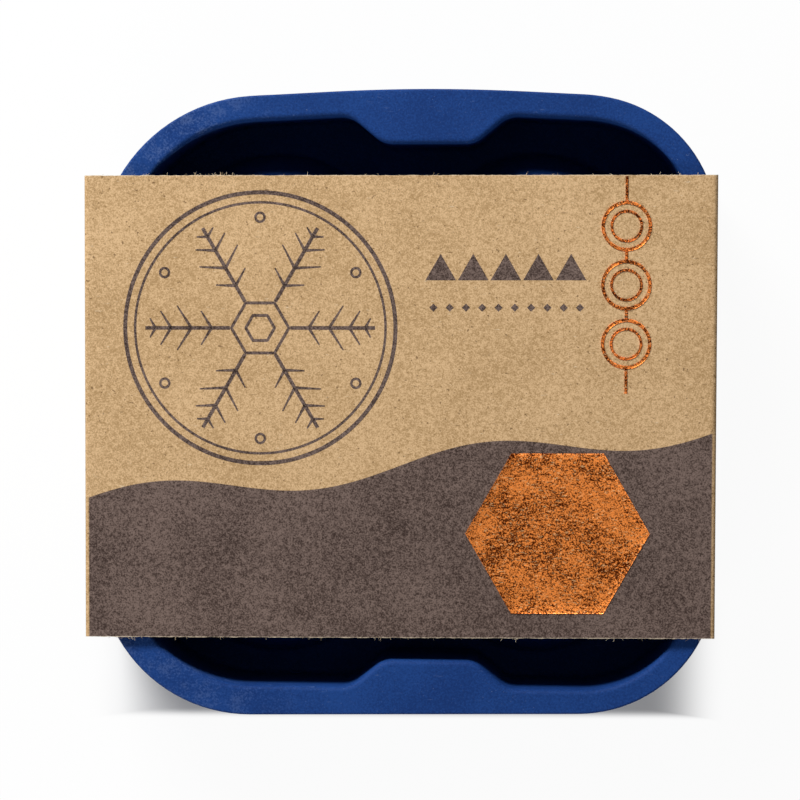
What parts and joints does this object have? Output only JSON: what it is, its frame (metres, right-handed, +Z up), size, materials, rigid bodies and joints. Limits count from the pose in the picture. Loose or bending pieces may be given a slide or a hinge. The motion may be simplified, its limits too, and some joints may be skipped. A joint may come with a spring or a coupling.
{
  "type": "ice ball mould",
  "caption": "Two-part silicone mould for ice balls, with pull tabs, fill funnels and sealing beads, held shut by a slide-off card sleeve.",
  "frame": {"origin": "middle of the sleeve's underside", "axes": "+Z up through the fill holes, +Y along the sleeve's open ends towards one pair of tabs, +X across the sleeve"},
  "size_m": [0.1402, 0.142, 0.0598],
  "materials": {
    "silicone": "matte",
    "card": "matte"
  },
  "bodies": {
    "base": {"lower_mould": "silicone"},
    "lid": {"upper_mould": "silicone"},
    "wrap": {"sleeve": "card"}
  },
  "joints": [
    {"name": "sleeve_slide", "type": "slide", "parent": "base", "child": "wrap", "axis": [0, 1, 0], "range_m": [-0.125, 0.125]},
    {"name": "lid_lift", "type": "slide", "parent": "base", "child": "lid", "axis": [0, 0, 1], "range_m": [0, 0.001]}
  ]
}
